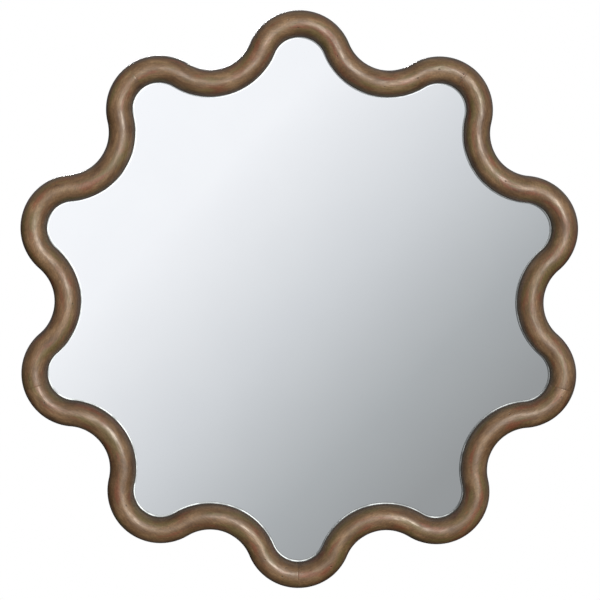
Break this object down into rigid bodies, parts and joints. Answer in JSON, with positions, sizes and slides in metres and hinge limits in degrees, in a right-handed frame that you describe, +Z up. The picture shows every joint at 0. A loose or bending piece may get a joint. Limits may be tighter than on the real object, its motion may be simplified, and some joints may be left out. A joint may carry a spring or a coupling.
{
  "type": "wavy wall mirror",
  "caption": "Wall mirror with a scalloped glass in a half-round wooden frame joined from curved segments, hung by two D-rings.",
  "frame": {"origin": "centre of the mirror on the plane of the wall that it hangs against", "axes": "+Z is up, -Y is the way the glass faces, +X is to the right seen from the front"},
  "size_m": [0.8778, 0.0485, 0.9143],
  "materials": {
    "frame_wood": "satin walnut-brown lacquer over hand-shaped wood, worn lighter on the crest",
    "dowel_wood": "plain beech",
    "mirror": "silvered glass with a shallow bevel and a ground edge",
    "foam_tape": "white foam",
    "fibreboard": "bare medium-density fibreboard",
    "zinc_screw": "zinc plated",
    "plated_steel": "nickel plated",
    "bumper_rubber": "matt black rubber"
  },
  "bodies": {
    "mirror": {"frame_segment_top": "frame_wood", "frame_segment_upper_right": "frame_wood", "frame_segment_lower_right": "frame_wood", "frame_segment_lower_left": "frame_wood", "frame_segment_upper_left": "frame_wood", "joint_dowels": "dowel_wood", "mirror_glass": "mirror", "mounting_tape": "foam_tape", "backing_panel": "fibreboard", "panel_screws": "zinc_screw", "left_hanger_strap": "plated_steel", "left_hanger_screws": "zinc_screw", "right_hanger_strap": "plated_steel", "right_hanger_screws": "zinc_screw", "wall_bumper_upper_right": "bumper_rubber", "wall_bumper_lower_right": "bumper_rubber", "wall_bumper_lower_left": "bumper_rubber", "wall_bumper_upper_left": "bumper_rubber"},
    "left_ring": {"left_hanging_ring": "plated_steel"},
    "right_ring": {"right_hanging_ring": "plated_steel"}
  },
  "joints": [
    {"name": "left_ring_swing", "type": "hinge", "parent": "mirror", "child": "left_ring", "pos_m": [-0.283, -0.0038, 0.32], "axis": [1, 0, 0], "range_deg": [0, 180]},
    {"name": "right_ring_swing", "type": "hinge", "parent": "mirror", "child": "right_ring", "pos_m": [0.283, -0.0038, 0.32], "axis": [1, 0, 0], "range_deg": [0, 180]}
  ]
}
